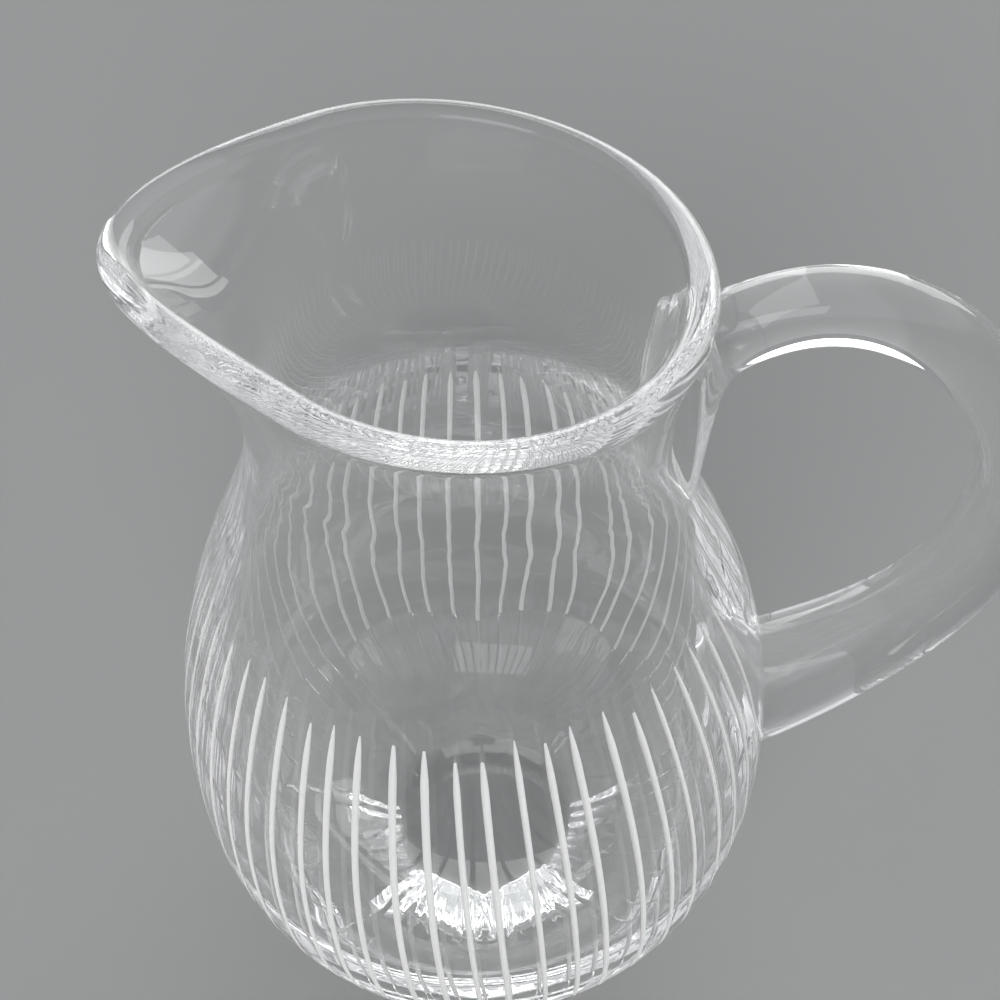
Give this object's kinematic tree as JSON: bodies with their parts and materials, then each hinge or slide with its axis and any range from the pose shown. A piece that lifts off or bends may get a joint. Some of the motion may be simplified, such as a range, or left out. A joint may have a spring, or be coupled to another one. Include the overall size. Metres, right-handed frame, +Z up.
{
  "type": "water pitcher",
  "caption": "Clear glass water pitcher: pear-shaped body with cut lines and a faceted foot, a flared lip pulled into a spout, and a solid applied loop handle.",
  "frame": {"origin": "middle of the flat foot, on the axis of the body", "axes": "+Z up along the axis of the body, +X toward the handle, -X toward the spout"},
  "size_m": [0.1759, 0.128, 0.2058],
  "materials": {
    "body_glass": "polished, with ground matte lines",
    "handle_glass": "fire polished"
  },
  "bodies": {
    "root": {"glass_body": "body_glass", "glass_handle": "handle_glass"}
  },
  "joints": []
}
